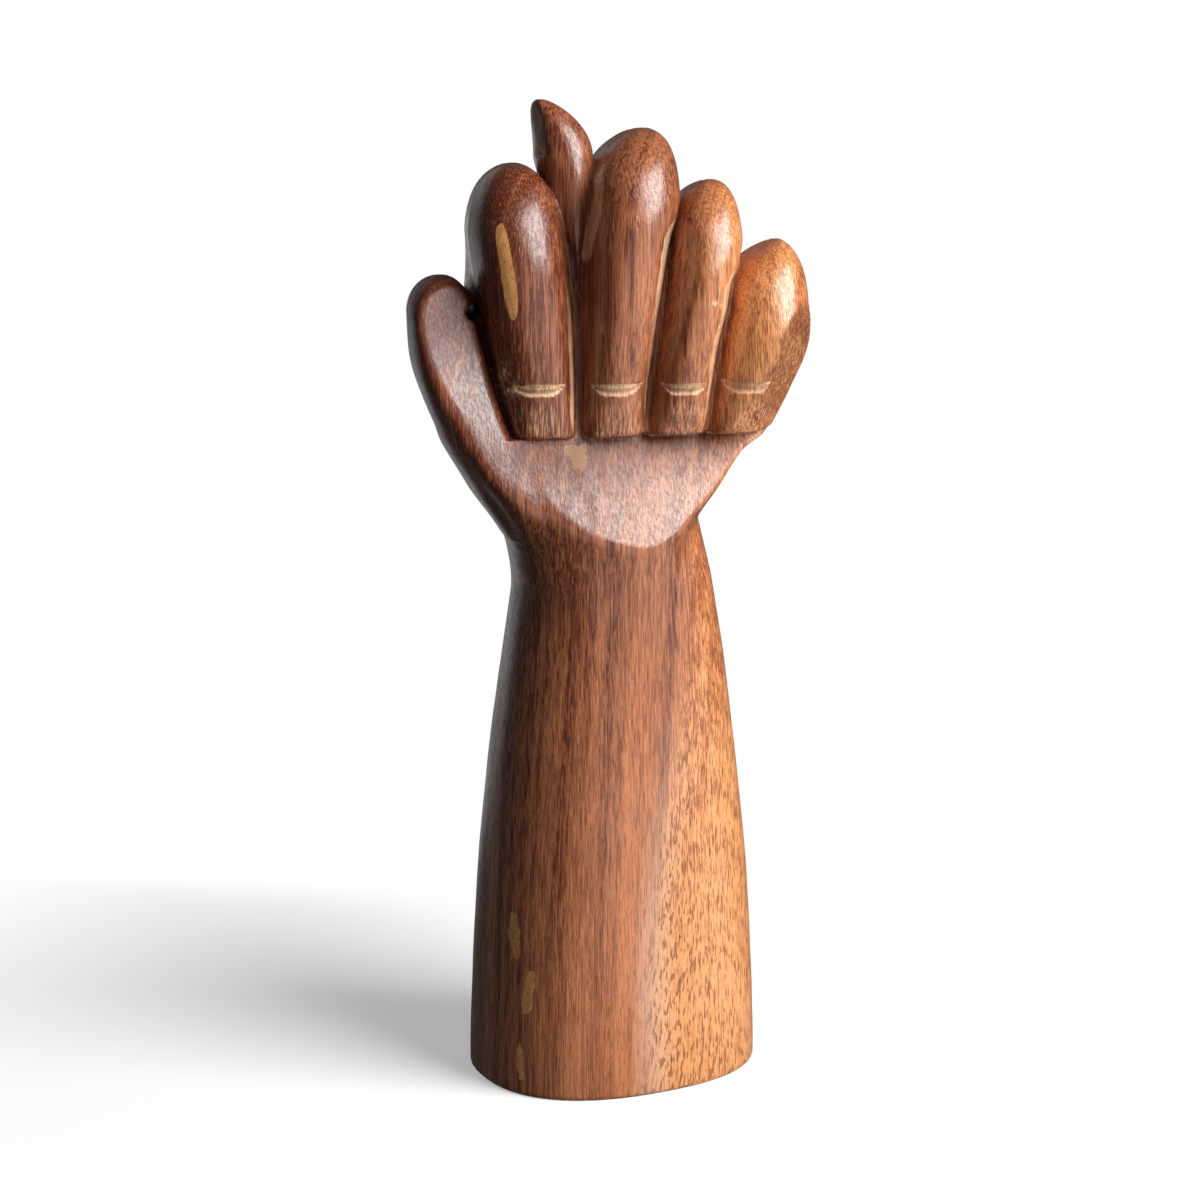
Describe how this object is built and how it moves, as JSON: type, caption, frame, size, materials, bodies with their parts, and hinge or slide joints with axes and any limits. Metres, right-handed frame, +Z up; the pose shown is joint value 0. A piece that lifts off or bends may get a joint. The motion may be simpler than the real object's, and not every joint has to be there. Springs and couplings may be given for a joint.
{
  "type": "carved figa hand",
  "caption": "Carved hardwood figa: a tapering forearm on a flat foot with a closed fist, the thumb tip rising between the index and middle fingers, with filler repairs.",
  "frame": {"origin": "centre of the underside of the foot", "axes": "+Z up along the forearm, -Y the way the palm faces, +X towards the little finger"},
  "size_m": [0.1215, 0.0776, 0.3],
  "materials": {
    "wood": "waxed satin reddish brown hardwood",
    "filler": "matt ochre wood filler"
  },
  "bodies": {
    "root": {"forearm": "wood", "palm": "wood", "thumb_root": "wood", "thumb_tip": "wood", "index_finger": "wood", "middle_finger": "wood", "ring_finger": "wood", "little_finger": "wood", "index_finger_fill": "filler", "palm_fill": "filler", "forearm_fill_upper": "filler", "forearm_fill_middle": "filler", "forearm_fill_lower": "filler"}
  },
  "joints": []
}
